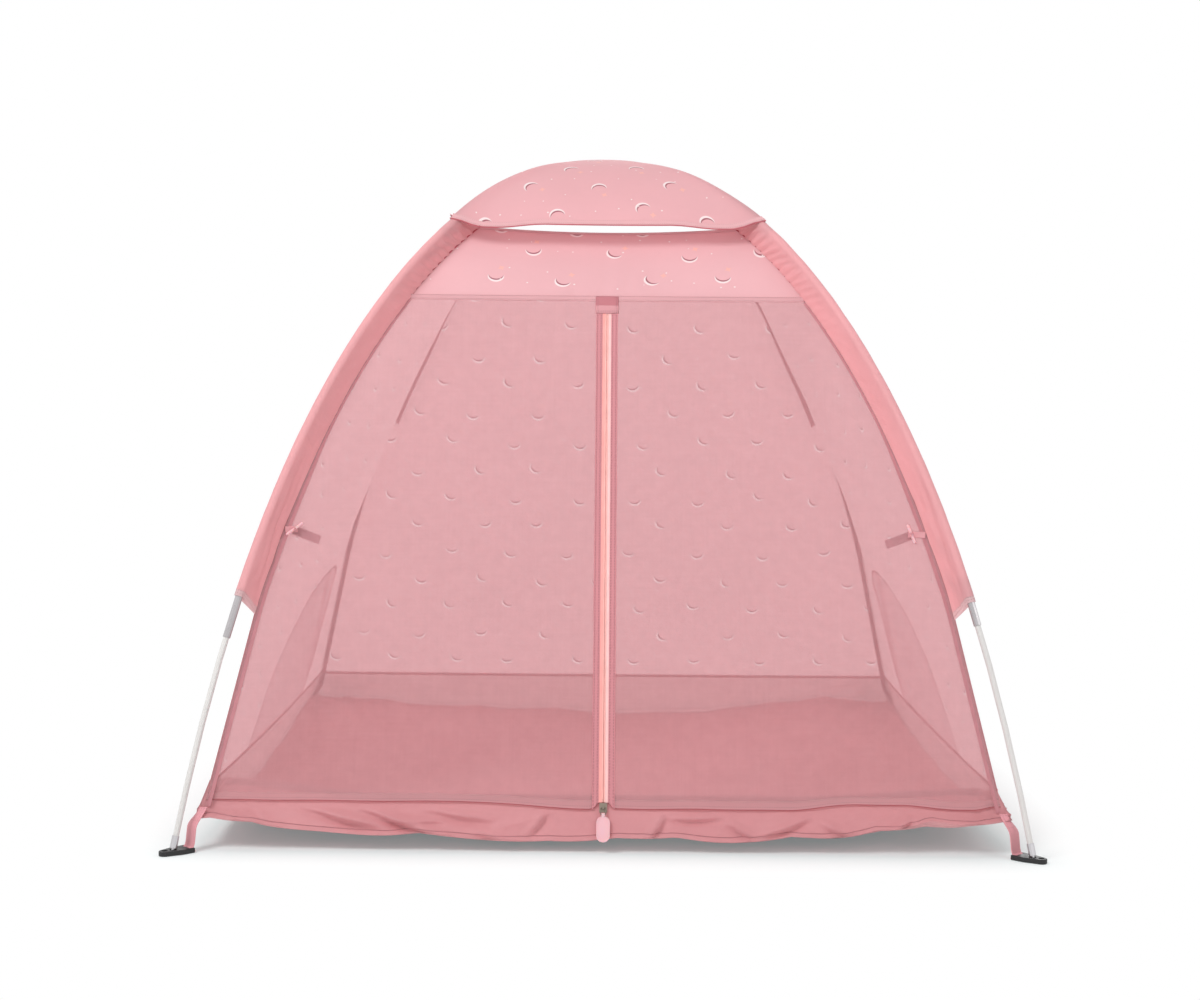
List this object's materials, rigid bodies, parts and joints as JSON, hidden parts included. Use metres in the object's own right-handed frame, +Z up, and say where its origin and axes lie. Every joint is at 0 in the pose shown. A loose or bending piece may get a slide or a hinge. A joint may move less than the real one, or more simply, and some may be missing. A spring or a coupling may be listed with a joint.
{
  "type": "mosquito net tent",
  "caption": "Child's dome tent of net and printed cloth on crossed bent poles, with a zipped net door, half-moon net windows, a cap over the crossing and a groundsheet.",
  "frame": {"origin": "on the ground, midway between the corner clips and under the crossing of the poles", "axes": "+Z up, -Y towards the zipped door, +X to the right of someone who looks at the door"},
  "size_m": [1.2332, 1.2332, 1.0295],
  "materials": {
    "print_cloth": "thin woven polyester with a printed pattern",
    "plain_cloth": "plain coated polyester",
    "net": "fine see-through mosquito net",
    "zip_tape": "woven tape with a coil zip",
    "webbing": "woven webbing and binding",
    "fibreglass": "light grey glass-fibre tube",
    "steel": "plated steel",
    "black_plastic": "moulded black plastic",
    "soft_plastic": "soft milky pink plastic",
    "elastic": "braided elastic cord"
  },
  "bodies": {
    "tent": {"upper_pole_section_1": "fibreglass", "upper_pole_section_2": "fibreglass", "upper_pole_section_3": "fibreglass", "upper_pole_section_4": "fibreglass", "upper_pole_section_5": "fibreglass", "upper_pole_ferrule_1": "steel", "upper_pole_ferrule_2": "steel", "upper_pole_ferrule_3": "steel", "upper_pole_ferrule_4": "steel", "upper_pole_shock_cord": "elastic", "lower_pole_section_1": "fibreglass", "lower_pole_section_2": "fibreglass", "lower_pole_section_3": "fibreglass", "lower_pole_section_4": "fibreglass", "lower_pole_section_5": "fibreglass", "lower_pole_ferrule_1": "steel", "lower_pole_ferrule_2": "steel", "lower_pole_ferrule_3": "steel", "lower_pole_ferrule_4": "steel", "lower_pole_shock_cord": "elastic", "pole_tip_front_left": "steel", "sleeve_front_left": "print_cloth", "corner_clip_front_left": "black_plastic", "corner_webbing_front_left": "webbing", "pole_tip_front_right": "steel", "sleeve_front_right": "print_cloth", "corner_clip_front_right": "black_plastic", "corner_webbing_front_right": "webbing", "pole_tip_back_right": "steel", "sleeve_back_right": "print_cloth", "corner_clip_back_right": "black_plastic", "corner_webbing_back_right": "webbing", "pole_tip_back_left": "steel", "sleeve_back_left": "print_cloth", "corner_clip_back_left": "black_plastic", "corner_webbing_back_left": "webbing", "groundsheet": "plain_cloth", "back_wall": "print_cloth", "front_top_panel": "print_cloth", "roof_net": "net", "cap": "print_cloth", "side_wall_left": "print_cloth", "side_window_left": "net", "door_side_left": "net", "tie_loop_left": "webbing", "tie_strap_left": "webbing", "side_wall_right": "print_cloth", "side_window_right": "net", "door_side_right": "net", "tie_loop_right": "webbing", "tie_strap_right": "webbing"},
    "zip_slider": {"zip_slider": "steel"},
    "zip_pull": {"zip_pull": "steel", "zip_tab": "soft_plastic"},
    "door_left": {"door_flap_left": "net", "zip_tape_left": "zip_tape"},
    "door_right": {"door_flap_right": "net", "zip_tape_right": "zip_tape"},
    "toggle_left": {"toggle_left": "soft_plastic"},
    "toggle_right": {"toggle_right": "soft_plastic"}
  },
  "joints": [
    {"name": "zip_slide", "type": "slide", "parent": "tent", "child": "zip_slider", "axis": [0, 0.344, 0.939], "range_m": [0, 0.74393]},
    {"name": "zip_pull_swing", "type": "hinge", "parent": "zip_slider", "child": "zip_pull", "pos_m": [0, -0.55958, 0.06285], "axis": [-1, 0, 0], "range_deg": [0, 150]},
    {"name": "door_left_fold", "type": "hinge", "parent": "tent", "child": "door_left", "pos_m": [-0.55, -0.55386, 0.068], "axis": [-0.5964, -0.2761, -0.7537], "range_deg": [0, 135]},
    {"name": "door_right_fold", "type": "hinge", "parent": "tent", "child": "door_right", "pos_m": [0.55, -0.55386, 0.068], "axis": [-0.5964, 0.2761, 0.7537], "range_deg": [0, 135]},
    {"name": "toggle_left_turn", "type": "hinge", "parent": "tent", "child": "toggle_left", "pos_m": [-0.45027, -0.46447, 0.4461], "axis": [0.2979, -0.9302, 0.2143], "range_deg": [-90, 90]},
    {"name": "toggle_right_turn", "type": "hinge", "parent": "tent", "child": "toggle_right", "pos_m": [0.44323, -0.46221, 0.44612], "axis": [-0.2979, -0.9302, 0.2143], "range_deg": [-90, 90]}
  ]
}
